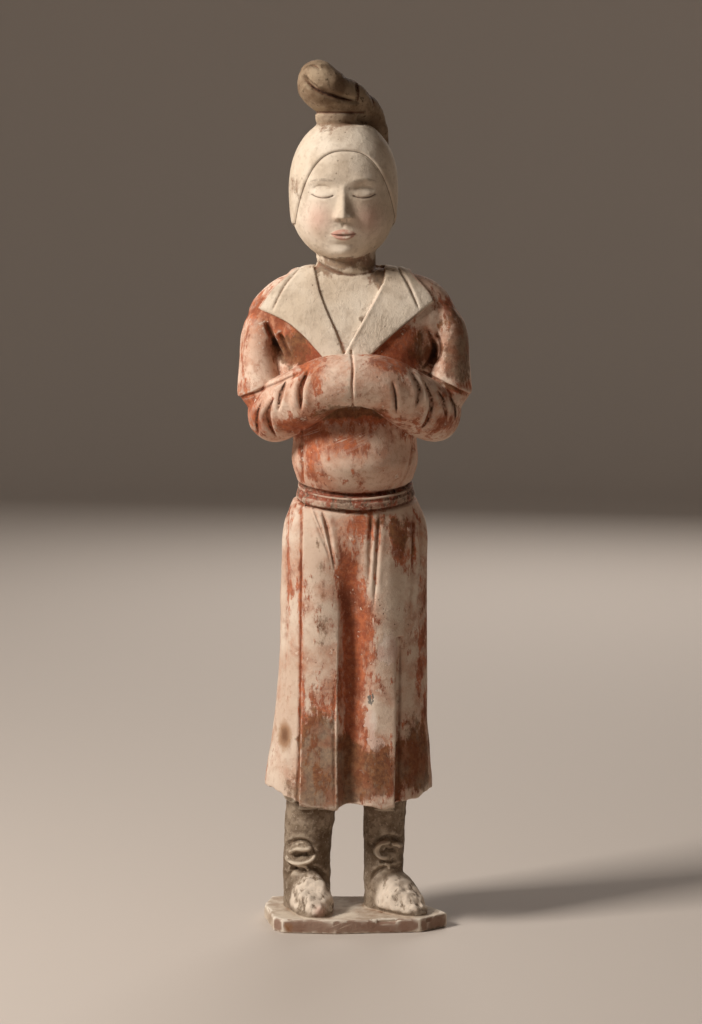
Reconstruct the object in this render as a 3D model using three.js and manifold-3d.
// Painted pottery tomb figure: a standing attendant in a belted coat with wide turned-down lapels,
// hands joined inside the sleeves, hair swept up into a leaning topknot, boots luted to a thin clay plate.
// It was moulded, assembled while damp and fired as one piece, so it is one solid.
// Millimetres. The figure faces -Y, +X is to the right of someone looking at it, +Z is up.
// The origin is on the underside of the plate, below the figure's standing axis.
import * as THREE from "three";
import { mergeVertices } from "three/addons/utils/BufferGeometryUtils.js";
import Module from "manifold-3d";

// Driving dimensions
const PLATE_THICKNESS = 7;
const PLATE_EDGE_WEAR = 0.8;
const HEM_HEIGHT = 67;
const WAIST_HEIGHT = 218;
const BELT_SIDE_HEIGHT = 216;
const BELT_SAG = 6;
const BELT_HALF_WIDTH = 27.6;
const BELT_FRONT_REACH = 26.4;
const BELT_BACK_REACH = 22;
const BELT_HALF_DEPTH = 2.6;
const BELT_HALF_HEIGHT = 3.5;
const LAPEL_THICKNESS = 1.7;
const HAIR_THICKNESS = 1;
const BODY_SQUARENESS = 2.25;
const HEAD_CENTRE_X = -5.3;
const HEAD_SQUARENESS = 2.1;
const CLAY_COLOUR = 0xc9a88c;

const wasm = await Module();
wasm.setup();

// Helpers

const TAU = Math.PI * 2;
const clamp01 = (t) => Math.min(1, Math.max(0, t));
const smoothstep = (low, high, t) => {
  const s = clamp01((t - low) / (high - low));
  return s * s * (3 - 2 * s);
};
const bell = (distance, width) => Math.exp(-((distance / width) ** 2));
const signedPower = (value, power) => Math.sign(value) * Math.abs(value) ** power;

// A smooth curve through the rows of a table: share 0 is the first row and share 1 the last.
function blendRows(rows, share) {
  const place = clamp01(share) * (rows.length - 1);
  const i = Math.min(Math.floor(place), rows.length - 2);
  const t = place - i;
  const row = (k) => rows[Math.min(Math.max(k, 0), rows.length - 1)];
  return rows[i].map((_, column) => {
    const [a, b, c, d] = [row(i - 1), row(i), row(i + 1), row(i + 2)].map((r) => r[column]);
    const slopeIn = (c - a) / 2;
    const slopeOut = (d - b) / 2;
    const rest = b + slopeIn * t + (3 * (c - b) - 2 * slopeIn - slopeOut) * t * t;
    return rest + (2 * (b - c) + slopeIn + slopeOut) * t ** 3;
  });
}

// A closed skin: a ball's grid whose points move to pointAt(turn, rise), with rise 1 at the top pole.
function skin(columns, rows, pointAt) {
  const geometry = new THREE.SphereGeometry(1, columns, rows);
  const { position, uv } = geometry.attributes;
  for (let i = 0; i < position.count; i++) {
    position.setXYZ(i, ...pointAt(uv.getX(i), uv.getY(i)));
  }
  return geometry;
}

// A closed ring: a torus's grid whose points move to pointAt(turn round the ring, turn round its section).
function ring(around, section, pointAt) {
  const geometry = new THREE.TorusGeometry(2, 1, section, around);
  const { position, uv } = geometry.attributes;
  for (let i = 0; i < position.count; i++) {
    position.setXYZ(i, ...pointAt(uv.getX(i), uv.getY(i)));
  }
  return geometry;
}

// The share of a skin's radius at a given rise: rounded over within lip of each end, 1 between.
function roundEnds(rise, lip) {
  const near = clamp01(Math.min(rise, 1 - rise) / lip);
  return Math.sqrt(1 - (1 - near) ** 2);
}

function solid(geometry) {
  geometry.deleteAttribute("normal");
  geometry.deleteAttribute("uv");
  const merged = mergeVertices(geometry, 1e-3);
  return new wasm.Manifold(
    new wasm.Mesh({
      numProp: 3,
      vertProperties: merged.attributes.position.array,
      triVerts: new Uint32Array(merged.index.array),
    }),
  );
}

const join = (solids) => solids.reduce((whole, piece) => whole.add(piece));

// A flat outline in X and Z, carried along Y from front to back.
function prism(shape, front, back) {
  const geometry = new THREE.ExtrudeGeometry(shape, { depth: back - front, bevelEnabled: false, curveSegments: 5 });
  geometry.rotateX(Math.PI / 2);
  geometry.translate(0, back, 0);
  return solid(geometry);
}

// Shares of a length: even steps, with three extra close together at each wrinkle.
function evenShares(count, wrinkles = [], width = 0) {
  const steps = Array.from({ length: count + 1 }, (_, i) => i / count);
  const clear = steps.filter((t) => wrinkles.every((w) => Math.abs(t - w) > 1.7 * width));
  return [...clear, ...wrinkles.flatMap((w) => [w - width, w, w + width])].sort((a, b) => a - b);
}

// The surface of a tube of changing radius along a curve, as a function of the share along it and the angle
// round it. Stations are [x, y, z, radius across, radius up].
function tubeSurface(stations, { lip = 0.12, groove = () => 0, upward = [0, 0, 1] } = {}) {
  const curve = new THREE.CatmullRomCurve3(stations.map(([x, y, z]) => new THREE.Vector3(x, y, z)));
  const reference = new THREE.Vector3(...upward);
  return (rise, angle) => {
    const centre = curve.getPoint(rise);
    const along = curve.getTangent(rise);
    const across = new THREE.Vector3().crossVectors(reference, along).normalize();
    const up = new THREE.Vector3().crossVectors(along, across);
    const [, , , wide, tall] = blendRows(stations, rise);
    const swell = roundEnds(rise, lip);
    const cut = groove(rise, angle);
    centre.addScaledVector(across, Math.cos(angle) * swell * (wide - cut));
    centre.addScaledVector(up, Math.sin(angle) * swell * (tall - cut));
    return centre.toArray();
  };
}

// The solid of such a tube, with a row of points at each of the given places.
function tube(stations, columns, places, options) {
  const surface = tubeSurface(stations, options);
  const rowPlace = (row) => places[Math.round(row * (places.length - 1))];
  return solid(skin(columns, places.length - 1, (turn, row) => surface(rowPlace(row), turn * TAU)));
}

// A body section: angle 0 is the front and a quarter turn is +X.
function section(angle, { wide, front, back, centre, squareness = BODY_SQUARENESS }) {
  const across = signedPower(Math.sin(angle), 2 / squareness);
  const forward = signedPower(Math.cos(angle), 2 / squareness);
  return [centre + wide * across, -(forward > 0 ? front : back) * forward];
}

// The angle of a column, counted from the front. A focus above 0 crowds the columns towards the front.
function fromFront(turn, focus = 0) {
  const share = turn > 0.5 ? 2 * turn - 2 : 2 * turn;
  return Math.PI * ((1 - focus) * share + focus * share ** 3);
}
const FRONT_FOCUS = 0.46;

// The coat's skirt

// Rows from hem to waist: half width, front reach, back reach, sideways centre.
const SKIRT_ROWS = [
  [41.2, 31, 27, -3.0],
  [39.2, 29.5, 26, -2.2],
  [37.3, 27.5, 25, -1.7],
  [36.4, 26.5, 24.5, -0.8],
  [35.8, 26.5, 24.8, -0.3],
  [35.6, 26.8, 25.5, -0.3],
  [35.3, 26.6, 25.5, 0],
  [32.8, 26.6, 23.8, 0.4],
  [26.8, 25.2, 20.6, 0.4],
];
const SKIRT_COLUMNS = 54;
const SKIRT_RISES = 16;
const SKIRT_UNDERSIDE = 1 / SKIRT_RISES;
const HEM_RECESS = 3;

// Folds are named by their place across the front at the top and the bottom, and where along the skirt they run.
const SKIRT_STEPS = [
  { top: -24.3, bottom: -26.6, from: 0, to: 0.97, height: 2.2, side: 1 },
  { top: 20.6, bottom: 19.4, from: 0, to: 0.62, height: 2.4, side: -1 },
];
const SKIRT_GROOVES = [
  { top: -31.5, bottom: -36, from: 0.25, to: 0.92, depth: 1.1, width: 2.2 },
  { top: 7.4, bottom: 6.4, from: 0.66, to: 0.95, depth: 1.5, width: 1.6 },
  { top: 12, bottom: 9, from: 0.62, to: 0.95, depth: 1.5, width: 1.6 },
  { top: 27.8, bottom: 27.2, from: 0.6, to: 0.95, depth: 1.4, width: 2 },
  { top: -13, bottom: -13, from: 0.78, to: 0.95, depth: 1.5, width: 2.4 },
];
const FURROW = { top: -1.5, bottom: -2.4, half: 8, depth: 4.6, from: 0, to: 0.82 };
const THIGHS = { far: -17, near: 14, width: 9, height: 1.6 };
const BACK_FLUTES = 3;
const BACK_FLUTE_DEPTH = 0.9;

const alongFold = ({ from, to }, rise) =>
  smoothstep(from - 0.03, from + 0.05, rise) * (1 - smoothstep(to - 0.14, to + 0.03, rise));
const foldPlace = ({ top, bottom }, rise) => bottom + (top - bottom) * rise;

// How far the cloth stands out from the plain skirt at a place across the front.
function skirtFolds(x, rise, angle) {
  const facing = smoothstep(0.05, 0.45, Math.cos(angle));
  let out = 0;
  for (const fold of SKIRT_STEPS) {
    const past = (x - foldPlace(fold, rise)) * fold.side;
    const lift = smoothstep(-0.6, 0.9, past) * (1 - smoothstep(3, 15, past));
    out += fold.height * (1 - 0.45 * rise) * lift * alongFold(fold, rise);
  }
  for (const fold of SKIRT_GROOVES) {
    out -= fold.depth * bell(x - foldPlace(fold, rise), fold.width) * alongFold(fold, rise);
  }
  const across = (x - foldPlace(FURROW, rise)) / FURROW.half;
  const hollow = Math.abs(across) < 1 ? Math.cos((across * Math.PI) / 2) ** 2 : 0;
  out -= FURROW.depth * hollow * alongFold(FURROW, rise);
  const thighs = bell(x - THIGHS.far, THIGHS.width) + bell(x - THIGHS.near, THIGHS.width);
  out += THIGHS.height * thighs * smoothstep(0, 0.3, rise) * (1 - smoothstep(0.75, 1, rise));
  const flutes = -BACK_FLUTE_DEPTH * (0.5 - 0.5 * Math.cos(angle * BACK_FLUTES * 2)) * (1 - rise * 0.7);
  return out * facing + flutes * smoothstep(0.1, 0.5, -Math.cos(angle));
}

// The hem is low in front of each leg, lifts between them and rises towards the sides.
function hemHeight(angle) {
  const front = Math.max(0, Math.cos(angle)) ** 2;
  return HEM_HEIGHT + 1 - 6 * front + 4.4 * bell(angle - 0.05, 0.17);
}

const beltHeight = (angle) => BELT_SIDE_HEIGHT - BELT_SAG * (0.5 + 0.5 * Math.cos(angle)) ** 2;

function makeSkirt() {
  return solid(
    skin(SKIRT_COLUMNS, SKIRT_RISES, (turn, rise) => {
      const angle = fromFront(turn, FRONT_FOCUS);
      const height = clamp01((rise - SKIRT_UNDERSIDE) / (1 - SKIRT_UNDERSIDE));
      const [wide, front, back, centre] = blendRows(SKIRT_ROWS, height);
      const inward = clamp01(rise / SKIRT_UNDERSIDE) * (rise < 1 ? 1 : 0);
      const [x, y] = section(angle, { wide, front, back, centre });
      const stand = skirtFolds(x, height, angle);
      const low = hemHeight(angle) + HEM_RECESS * (1 - inward);
      const z = low + (beltHeight(angle) + (WAIST_HEIGHT - BELT_SIDE_HEIGHT) - low) * height;
      const pole = [centre, 0, rise < 0.5 ? HEM_HEIGHT + HEM_RECESS : WAIST_HEIGHT];
      if (inward === 0) return pole;
      const px = x + stand * Math.sin(angle);
      const py = y - stand * Math.cos(angle);
      return [centre + (px - centre) * inward, py * inward, z];
    }),
  );
}

// The coat's body, from inside the belt up over the shoulders to the neck

// Rows of height, half width, front reach, back reach, sideways centre.
const TORSO_ROWS = [
  [205, 20, 17, 15, 0.3],
  [213, 26, 23.5, 19.5, 0.3],
  [221, 29.2, 28, 21, 0.2],
  [230, 30.4, 29.8, 22, 0.2],
  [240, 30.6, 29.2, 22.5, 0],
  [252, 33.5, 27.2, 23, 0],
  [266, 37.5, 25.5, 23.5, 0],
  [280, 41, 24.4, 23.5, -0.4],
  [291, 47.6, 22.6, 22.5, -0.6],
  [299, 50.4, 20.4, 21.5, -0.8],
  [305.5, 48.2, 18, 20, -1],
  [311.5, 43.6, 15.4, 18, -0.6],
  [316.5, 36.8, 13, 16, -0.6],
  [319.6, 27.5, 11.6, 14.6, -2],
  [321.6, 18, 10.4, 13.4, -4],
  [322.4, 8, 7, 8, -4.2],
];
const TORSO_COLUMNS = 30;
const TORSO_RISES = 17;

function makeTorso(grow) {
  return solid(
    skin(TORSO_COLUMNS, TORSO_RISES, (turn, rise) => {
      const [z, wide, front, back, centre] = blendRows(TORSO_ROWS, rise);
      const lift = grow * smoothstep(0.6, 1, rise);
      if (rise <= 0 || rise >= 1) return [centre, 0, z + lift];
      const grown = { wide: wide + grow, front: front + grow, back: back + grow, centre };
      return [...section(fromFront(turn, FRONT_FOCUS), grown), z + lift];
    }),
  );
}

// The lapels, drawn as seen from the front and laid on the shoulders and chest as a thin sheet

const NECK_X = -4;
// Both lapels end behind the joined sleeves.
const LAPEL_FOOT = 264;

function farLapelOutline() {
  const shape = new THREE.Shape();
  shape.moveTo(-19, 321);
  shape.quadraticCurveTo(-17.5, 308, -6, 287);
  shape.lineTo(-1, LAPEL_FOOT);
  shape.lineTo(-9, LAPEL_FOOT);
  shape.quadraticCurveTo(-26, 296, -46, 302.4);
  shape.quadraticCurveTo(-40, 312, -27, 320);
  shape.lineTo(-22, 328);
  return shape;
}

function nearLapelOutline() {
  const shape = new THREE.Shape();
  shape.moveTo(-15, LAPEL_FOOT - 0.5);
  shape.lineTo(14, 315.5);
  shape.lineTo(14, 328);
  shape.lineTo(21, 326);
  shape.quadraticCurveTo(33, 316, 38, 305.8);
  shape.quadraticCurveTo(24, 297, -2, LAPEL_FOOT - 0.5);
  return shape;
}

// The collar runs on round the back of the neck and is plain there.
function collarBackOutline() {
  const shape = new THREE.Shape();
  shape.moveTo(-22, 330);
  shape.lineTo(-27, 320);
  shape.lineTo(-30, 313);
  shape.quadraticCurveTo(NECK_X, 305, 24, 313);
  shape.lineTo(24, 322);
  shape.lineTo(20, 330);
  return shape;
}

function makeLapels() {
  const sheet = makeTorso(LAPEL_THICKNESS);
  const front = join([farLapelOutline(), nearLapelOutline()].map((outline) => prism(outline, -40, 4)));
  return sheet.intersect(front.add(prism(collarBackOutline(), 2, 40)));
}

// The belt

function makeBelt() {
  return solid(
    ring(36, 5, (turn, roll) => {
      const angle = fromFront(turn);
      const out = signedPower(Math.cos(roll * TAU), 0.6) * BELT_HALF_DEPTH;
      const up = signedPower(Math.sin(roll * TAU), 0.6) * BELT_HALF_HEIGHT;
      const inset = out - BELT_HALF_DEPTH;
      const [x, y] = section(angle, {
        wide: BELT_HALF_WIDTH + inset,
        front: BELT_FRONT_REACH + inset,
        back: BELT_BACK_REACH + inset,
        centre: 0.5,
      });
      return [x, y, beltHeight(angle) + up];
    }),
  );
}

// The arms: an upper sleeve hangs from each shoulder, and the forearms meet in one roll across the chest

// Rows of height, sideways centre, half width, front reach, back reach, for the arm on the -X side.
const UPPER_SLEEVE_ROWS = [
  [245, 42, 7, 12, 8],
  [252, 43.2, 10.4, 16, 11],
  [260, 44.4, 11.3, 17, 12.5],
  [268, 45, 11.2, 17, 13],
  [278, 45.6, 10, 16, 13.4],
  [289, 45, 9.8, 15, 13.6],
  [297, 43.2, 9.2, 13.4, 13],
  [304, 39, 8, 11, 11],
  [309, 34, 5, 7, 7],
];

function makeUpperSleeve(side) {
  return solid(
    skin(16, 8, (turn, rise) => {
      const [z, centre, wide, front, back] = blendRows(UPPER_SLEEVE_ROWS, rise);
      if (rise <= 0 || rise >= 1) return [side * centre, 0, z];
      return [...section(fromFront(turn), { wide, front, back, centre: side * centre }), z];
    }),
  );
}

// Stations of the roll on one side: place, radius across, radius up. They start behind the elbow.
const FOREARM_STATIONS = [
  [46, 5, 252, 11, 11.5],
  [43.5, -4, 251.5, 13.5, 13.6],
  [36, -15, 255, 14.2, 14],
  [24, -26, 262, 13.8, 13.8],
  [12, -33.5, 268.6, 12.8, 12.9],
  [-1.6, -36.5, 270.3, 12, 12.2],
];
// Where each sleeve wrinkle crosses the roll, as a share of its length, for the -X and the +X arm.
const FAR_WRINKLES = [0.24, 0.37, 0.5, 0.68];
const NEAR_WRINKLES = [0.26, 0.4, 0.54, 0.74];
const WRINKLE_DEPTH = 2;
const WRINKLE_WIDTH = 0.022;
const CUFF_ROUNDING = 0.04;

function makeForearm(side, wrinkles) {
  const stations = FOREARM_STATIONS.map(([x, ...rest]) => [side * x, ...rest]);
  const groove = (rise, angle) => {
    const outside = smoothstep(-0.5, 0.4, side * Math.cos(angle));
    const cuts = wrinkles.map((place) => bell(rise - place, WRINKLE_WIDTH * 0.6));
    return outside * WRINKLE_DEPTH * Math.max(...cuts);
  };
  const places = evenShares(11, wrinkles, WRINKLE_WIDTH).flatMap((t) => (t < 1 ? [t] : [1 - CUFF_ROUNDING / 2, 1]));
  return tube(stations, 12, places, { lip: CUFF_ROUNDING, groove });
}

// The head: a plain calm oval with the hair as a cap that frames the face

// Rows of height, half width, face reach, back reach.
const HEAD_ROWS = [
  [325, 4, 12, -2],
  [327.5, 11, 17, 2],
  [332, 17.4, 21.6, 8],
  [338, 21.8, 24, 14.5],
  [345, 24.4, 25.2, 20.5],
  [353, 25.3, 25.8, 24.6],
  [361, 25.3, 26, 27],
  [369, 24.6, 25.4, 27.6],
  [377, 22.3, 23, 26],
  [384, 18, 18.6, 22],
  [389, 12.4, 13, 15.5],
  [392, 5.5, 6, 7],
];
const FACE_COLUMNS = 30;
const HAIR_COLUMNS = 22;
const HAIR_RISES = 12;
const FACE_FOCUS = 0.6;
const EYE_HEIGHT = 358;
const EYE_SPREAD = 9.6;
const NOSE_TIP_HEIGHT = 346.5;
const NOSE_HALF_WIDTH = 3.4;
const NOSE_REACH = 5;
const MOUTH_HEIGHT = 338;
const MOUTH_HALF_WIDTH = 6.5;

// The face's own relief: brow, sockets, lids, nose, lips and chin, measured from the face's centre line.
function faceRelief(x, z) {
  const fromEye = Math.abs(x) - EYE_SPREAD;
  const brow = 0.8 * bell(z - EYE_HEIGHT - 6, 2.6) * bell(fromEye, 7);
  const socket = -1.7 * bell(z - EYE_HEIGHT - 0.6, 4) * bell(fromEye + 1, 6.5);
  const lids = 1.3 * bell(z - EYE_HEIGHT, 1.9) * bell(fromEye, 4.2);
  const slope = clamp01((EYE_HEIGHT + 4 - z) / (EYE_HEIGHT + 4 - NOSE_TIP_HEIGHT));
  const underside = smoothstep(NOSE_TIP_HEIGHT - 3, NOSE_TIP_HEIGHT - 1.8, z);
  const nose = underside * slope * NOSE_REACH * bell(x, NOSE_HALF_WIDTH * (0.55 + 0.5 * slope));
  const lips = 1.5 * bell(z - MOUTH_HEIGHT, 2.6) * bell(x, MOUTH_HALF_WIDTH);
  const parting = -1.2 * bell(z - MOUTH_HEIGHT, 0.8) * bell(x, MOUTH_HALF_WIDTH);
  const chin = 1.2 * bell(z - 329.5, 3.2) * bell(x, 7);
  return brow + socket + lids + nose + lips + parting + chin;
}

// Heights of the rows of points on the face, closest together at the mouth, the nose tip and the eyes.
const FACE_HEIGHTS = [
  326, 329, 332, 334.6, 336.6, 338, 339.4, 341.6, 343.6, 344.8, 347, 351, 354.4, 356.6, 358, 359.6, 362,
  365, 369, 375, 381, 387,
];

// The oval of the head at a height between chin and crown.
function headOval(z) {
  let i = HEAD_ROWS.findIndex((row) => row[0] > z);
  i = i < 0 ? HEAD_ROWS.length - 1 : Math.max(i, 1);
  const [low, high] = [HEAD_ROWS[i - 1][0], HEAD_ROWS[i][0]];
  const place = i - 1 + clamp01((z - low) / (high - low));
  const [, wide, front, back] = blendRows(HEAD_ROWS, place / (HEAD_ROWS.length - 1));
  return { wide, front, back };
}

function makeFace() {
  const [chin, crown] = [HEAD_ROWS[0][0], HEAD_ROWS[HEAD_ROWS.length - 1][0]];
  const heights = [chin, ...FACE_HEIGHTS, crown];
  return solid(
    skin(FACE_COLUMNS, heights.length - 1, (turn, rise) => {
      const angle = fromFront(turn, FACE_FOCUS);
      const z = heights[Math.round(rise * (heights.length - 1))];
      if (rise <= 0 || rise >= 1) return [HEAD_CENTRE_X, rise <= 0 ? -5 : 0, z];
      const [x, y] = section(angle, { ...headOval(z), centre: 0, squareness: HEAD_SQUARENESS });
      const facing = smoothstep(0.1, 0.6, Math.cos(angle));
      return [HEAD_CENTRE_X + x, y - facing * faceRelief(x, z), z];
    }),
  );
}

function makeHairCap() {
  return solid(
    skin(HAIR_COLUMNS, HAIR_RISES, (turn, rise) => {
      const [z, wide, front, back] = blendRows(HEAD_ROWS, rise);
      const lift = HAIR_THICKNESS * (2 * rise - 1);
      if (rise <= 0 || rise >= 1) return [HEAD_CENTRE_X, rise <= 0 ? -5 : 0, z + lift];
      const grown = { wide: wide + HAIR_THICKNESS, front: front + HAIR_THICKNESS, back: back + HAIR_THICKNESS };
      const [x, y] = section(fromFront(turn), { ...grown, centre: HEAD_CENTRE_X, squareness: HEAD_SQUARENESS });
      return [x, y, z + lift];
    }),
  );
}

// The opening in the hair: an arch from temple to temple, open below.
function faceWindow() {
  const shape = new THREE.Shape();
  shape.moveTo(HEAD_CENTRE_X - 24, 300);
  shape.lineTo(HEAD_CENTRE_X - 23.4, 344);
  shape.bezierCurveTo(HEAD_CENTRE_X - 23, 364, HEAD_CENTRE_X - 15, 377.8, HEAD_CENTRE_X, 377.8);
  shape.bezierCurveTo(HEAD_CENTRE_X + 15, 377.8, HEAD_CENTRE_X + 23, 364, HEAD_CENTRE_X + 23.4, 344);
  shape.lineTo(HEAD_CENTRE_X + 24, 300);
  return shape;
}

const HAIR_HEM_FRONT = 343;
const HAIR_HEM_BACK = 330;

// Everything below the hair's lower edge, which drops from the temples to the nape.
function belowHair() {
  const shape = new THREE.Shape();
  shape.moveTo(-60, 290);
  shape.lineTo(40, 290);
  shape.lineTo(40, HAIR_HEM_BACK);
  shape.lineTo(16, HAIR_HEM_BACK);
  shape.quadraticCurveTo(4, HAIR_HEM_FRONT - 3, -6, HAIR_HEM_FRONT);
  shape.lineTo(-60, HAIR_HEM_FRONT);
  const geometry = new THREE.ExtrudeGeometry(shape, { depth: 120, bevelEnabled: false, curveSegments: 6 });
  geometry.rotateX(Math.PI / 2);
  geometry.rotateZ(Math.PI / 2);
  geometry.translate(-60 + HEAD_CENTRE_X, 0, 0);
  return solid(geometry);
}

function makeHead() {
  const hair = makeHairCap().subtract(prism(faceWindow(), -60, -1)).subtract(belowHair());
  const neck = tube(
    [
      [NECK_X, 1, 312, 16.5, 15],
      [NECK_X, 1, 319, 14.9, 13.5],
      [NECK_X, 0.5, 326, 14.4, 13],
      [HEAD_CENTRE_X + 0.8, 1, 340, 14, 13],
    ],
    18, evenShares(4), { lip: 0.02, upward: [0, 1, 0] },
  );
  return join([makeFace(), hair, neck]);
}

// The topknot: hair tied at the crown, carried up behind and folded forward into a heavy leaning loop

const KNOT_STATIONS = [
  [10.6, 16, 377, 5, 5],
  [9.8, 14.5, 388, 5.6, 6],
  [5.4, 9.5, 396.4, 7.4, 6.4],
  [-2.6, 3, 401.2, 10, 8.2],
  [-11.5, -4, 405.4, 12.4, 11.6],
  [-19, -8, 409.4, 12.4, 13],
  [-27, -11, 414, 9, 10],
];
const KNOT_STRAP_PLACE = 0.42;
const KNOT_STRAP_WIDTH = 0.03;
const KNOT_STRAP_DEPTH = 1.2;

// The long fold cut along the front of the loop's heavy end, as shares of the loop and radii.
const KNOT_FOLD = [
  [0.46, 1],
  [0.56, 1.5],
  [0.66, 1.7],
  [0.76, 1.7],
  [0.85, 1.5],
  [0.92, 0.9],
];
const KNOT_FOLD_ANGLE = -0.15;

function makeTopknot() {
  const places = evenShares(12, [KNOT_STRAP_PLACE], KNOT_STRAP_WIDTH);
  const groove = (rise) => KNOT_STRAP_DEPTH * bell(rise - KNOT_STRAP_PLACE, KNOT_STRAP_WIDTH * 0.6);
  const shape = { lip: 0.24, groove };
  const loop = tube(KNOT_STATIONS, 16, places, shape);
  const front = tubeSurface(KNOT_STATIONS, shape);
  const foldStations = KNOT_FOLD.map(([rise, radius]) => [...front(rise, KNOT_FOLD_ANGLE), radius, radius]);
  const fold = tube(foldStations, 6, evenShares(8));
  const tie = tube(
    [
      [-8.4, -3, 386, 11, 11],
      [-8.4, -3, 391.5, 9.4, 9.4],
      [-9, -3.4, 394, 9.8, 9.8],
      [-9.5, -3.6, 402, 9, 9],
    ],
    14, evenShares(4), { lip: 0.04, upward: [0, 1, 0] },
  );
  return loop.subtract(fold).add(tie);
}

// The boots

// Each leg: rows of height, sideways centre, half width, half depth, forward centre.
const FAR_LEG_ROWS = [
  [4, -23.6, 11.4, 12, 1],
  [14, -23.6, 11.6, 12, 1.4],
  [26, -23.7, 11.6, 11.6, 2],
  [38, -23.2, 11.7, 11.6, 2],
  [56, -21.5, 12.3, 12.6, 1.5],
  [76, -20.5, 13, 13, 1],
];
const NEAR_LEG_ROWS = [
  [4, 15, 10.2, 11.6, 1],
  [14, 14.8, 9.9, 11.6, 1.4],
  [26, 14.4, 9.7, 11.2, 2],
  [38, 14.6, 10, 11.2, 2],
  [56, 14.9, 10.6, 12.2, 1.5],
  [76, 15, 12, 12.6, 1],
];
const FAR_TOE_OUT = 0.17;
const NEAR_TOE_OUT = 0.58;
const ANKLE_WRINKLES = [29, 34.5, 40.5];
const ANKLE_WRINKLE_DEPTH = 0.9;
const BOOT_SINK = 1;

function makeLeg(rows) {
  return solid(
    skin(12, 11, (turn, rise) => {
      const angle = fromFront(turn);
      const [z, centre, wide, deep, back] = blendRows(rows, rise);
      if (rise <= 0 || rise >= 1) return [centre, back, z];
      const cuts = ANKLE_WRINKLES.map((height) => bell(z - height, 1.3));
      const cut = ANKLE_WRINKLE_DEPTH * Math.max(...cuts) * smoothstep(0.2, 0.7, Math.cos(angle));
      const oval = { wide: wide - cut, front: deep - cut, back: deep, centre, squareness: 2.1 };
      const [x, y] = section(angle, oval);
      return [x, y + back, z];
    }),
  );
}

// A shoe is a stack of long ovals that draw back from the toe as they rise to the instep.
// Rows of height, reach to the toe, reach to the heel, half width.
const SHOE_ROWS = [
  [4, 25, 12, 9.4],
  [7.5, 27.4, 12.6, 10.5],
  [11, 27, 12.6, 10.7],
  [14.5, 24, 12.4, 10.3],
  [18.5, 19.5, 12, 9.4],
  [23, 14.5, 11.4, 8.2],
  [27, 9, 9, 6],
];

function makeShoe(ankle, toeOut) {
  return solid(
    skin(16, 7, (turn, rise) => {
      const [z, front, back, wide] = blendRows(SHOE_ROWS, rise);
      const flat = rise <= 0 || rise >= 1;
      const [x, y] = flat ? [0, 0] : section(fromFront(turn), { wide, front, back, centre: 0, squareness: 2.3 });
      const [cos, sin] = [Math.cos(toeOut), Math.sin(toeOut)];
      return [ankle + x * cos - y * sin, x * sin + y * cos, z];
    }),
  );
}

function makeBoots() {
  const sunk = new THREE.BoxGeometry(200, 200, 20).translate(0, 0, PLATE_THICKNESS - BOOT_SINK - 10);
  const boots = join([
    makeLeg(FAR_LEG_ROWS),
    makeLeg(NEAR_LEG_ROWS),
    makeShoe(-22.6, FAR_TOE_OUT),
    makeShoe(15.6, NEAR_TOE_OUT),
  ]);
  return boots.subtract(solid(sunk));
}

// The plate under the boots: a slab cut by hand, with clipped corners and worn edges

const PLATE_OUTLINE = [
  [-44.8, 4.5], [-39.6, -22], [-35, -27], [-10, -29.6], [32, -25.6],
  [45.4, -14], [37, 0], [29, 15], [22, 20.5], [-41.5, 21],
];

function makePlate() {
  const shape = new THREE.Shape(PLATE_OUTLINE.map(([x, y]) => new THREE.Vector2(x, y)));
  const geometry = new THREE.ExtrudeGeometry(shape, {
    depth: PLATE_THICKNESS - 2 * PLATE_EDGE_WEAR,
    bevelEnabled: true,
    bevelThickness: PLATE_EDGE_WEAR,
    bevelSize: PLATE_EDGE_WEAR,
    bevelOffset: -PLATE_EDGE_WEAR,
    bevelSegments: 2,
  });
  geometry.translate(0, 0, PLATE_EDGE_WEAR);
  return solid(geometry);
}

// The whole figure, joined as the potter joined it before firing

function makeFigure() {
  return join([
    makePlate(),
    makeBoots(),
    makeSkirt(),
    makeTorso(0),
    makeLapels(),
    makeBelt(),
    makeUpperSleeve(-1),
    makeUpperSleeve(1),
    makeForearm(-1, FAR_WRINKLES),
    makeForearm(1, NEAR_WRINKLES),
    makeHead(),
    makeTopknot(),
  ]);
}

function meshOf(whole, name, colour) {
  const { vertProperties, triVerts } = whole.getMesh();
  const geometry = new THREE.BufferGeometry();
  geometry.setAttribute("position", new THREE.BufferAttribute(vertProperties, 3));
  geometry.setIndex(new THREE.BufferAttribute(triVerts, 1));
  geometry.computeVertexNormals();
  const material = new THREE.MeshStandardMaterial({ color: colour, roughness: 0.9, metalness: 0 });
  const mesh = new THREE.Mesh(geometry, material);
  mesh.name = name;
  return mesh;
}

const figure = new THREE.Group();
figure.add(meshOf(makeFigure(), "tomb_figure", CLAY_COLOUR));

export default figure;
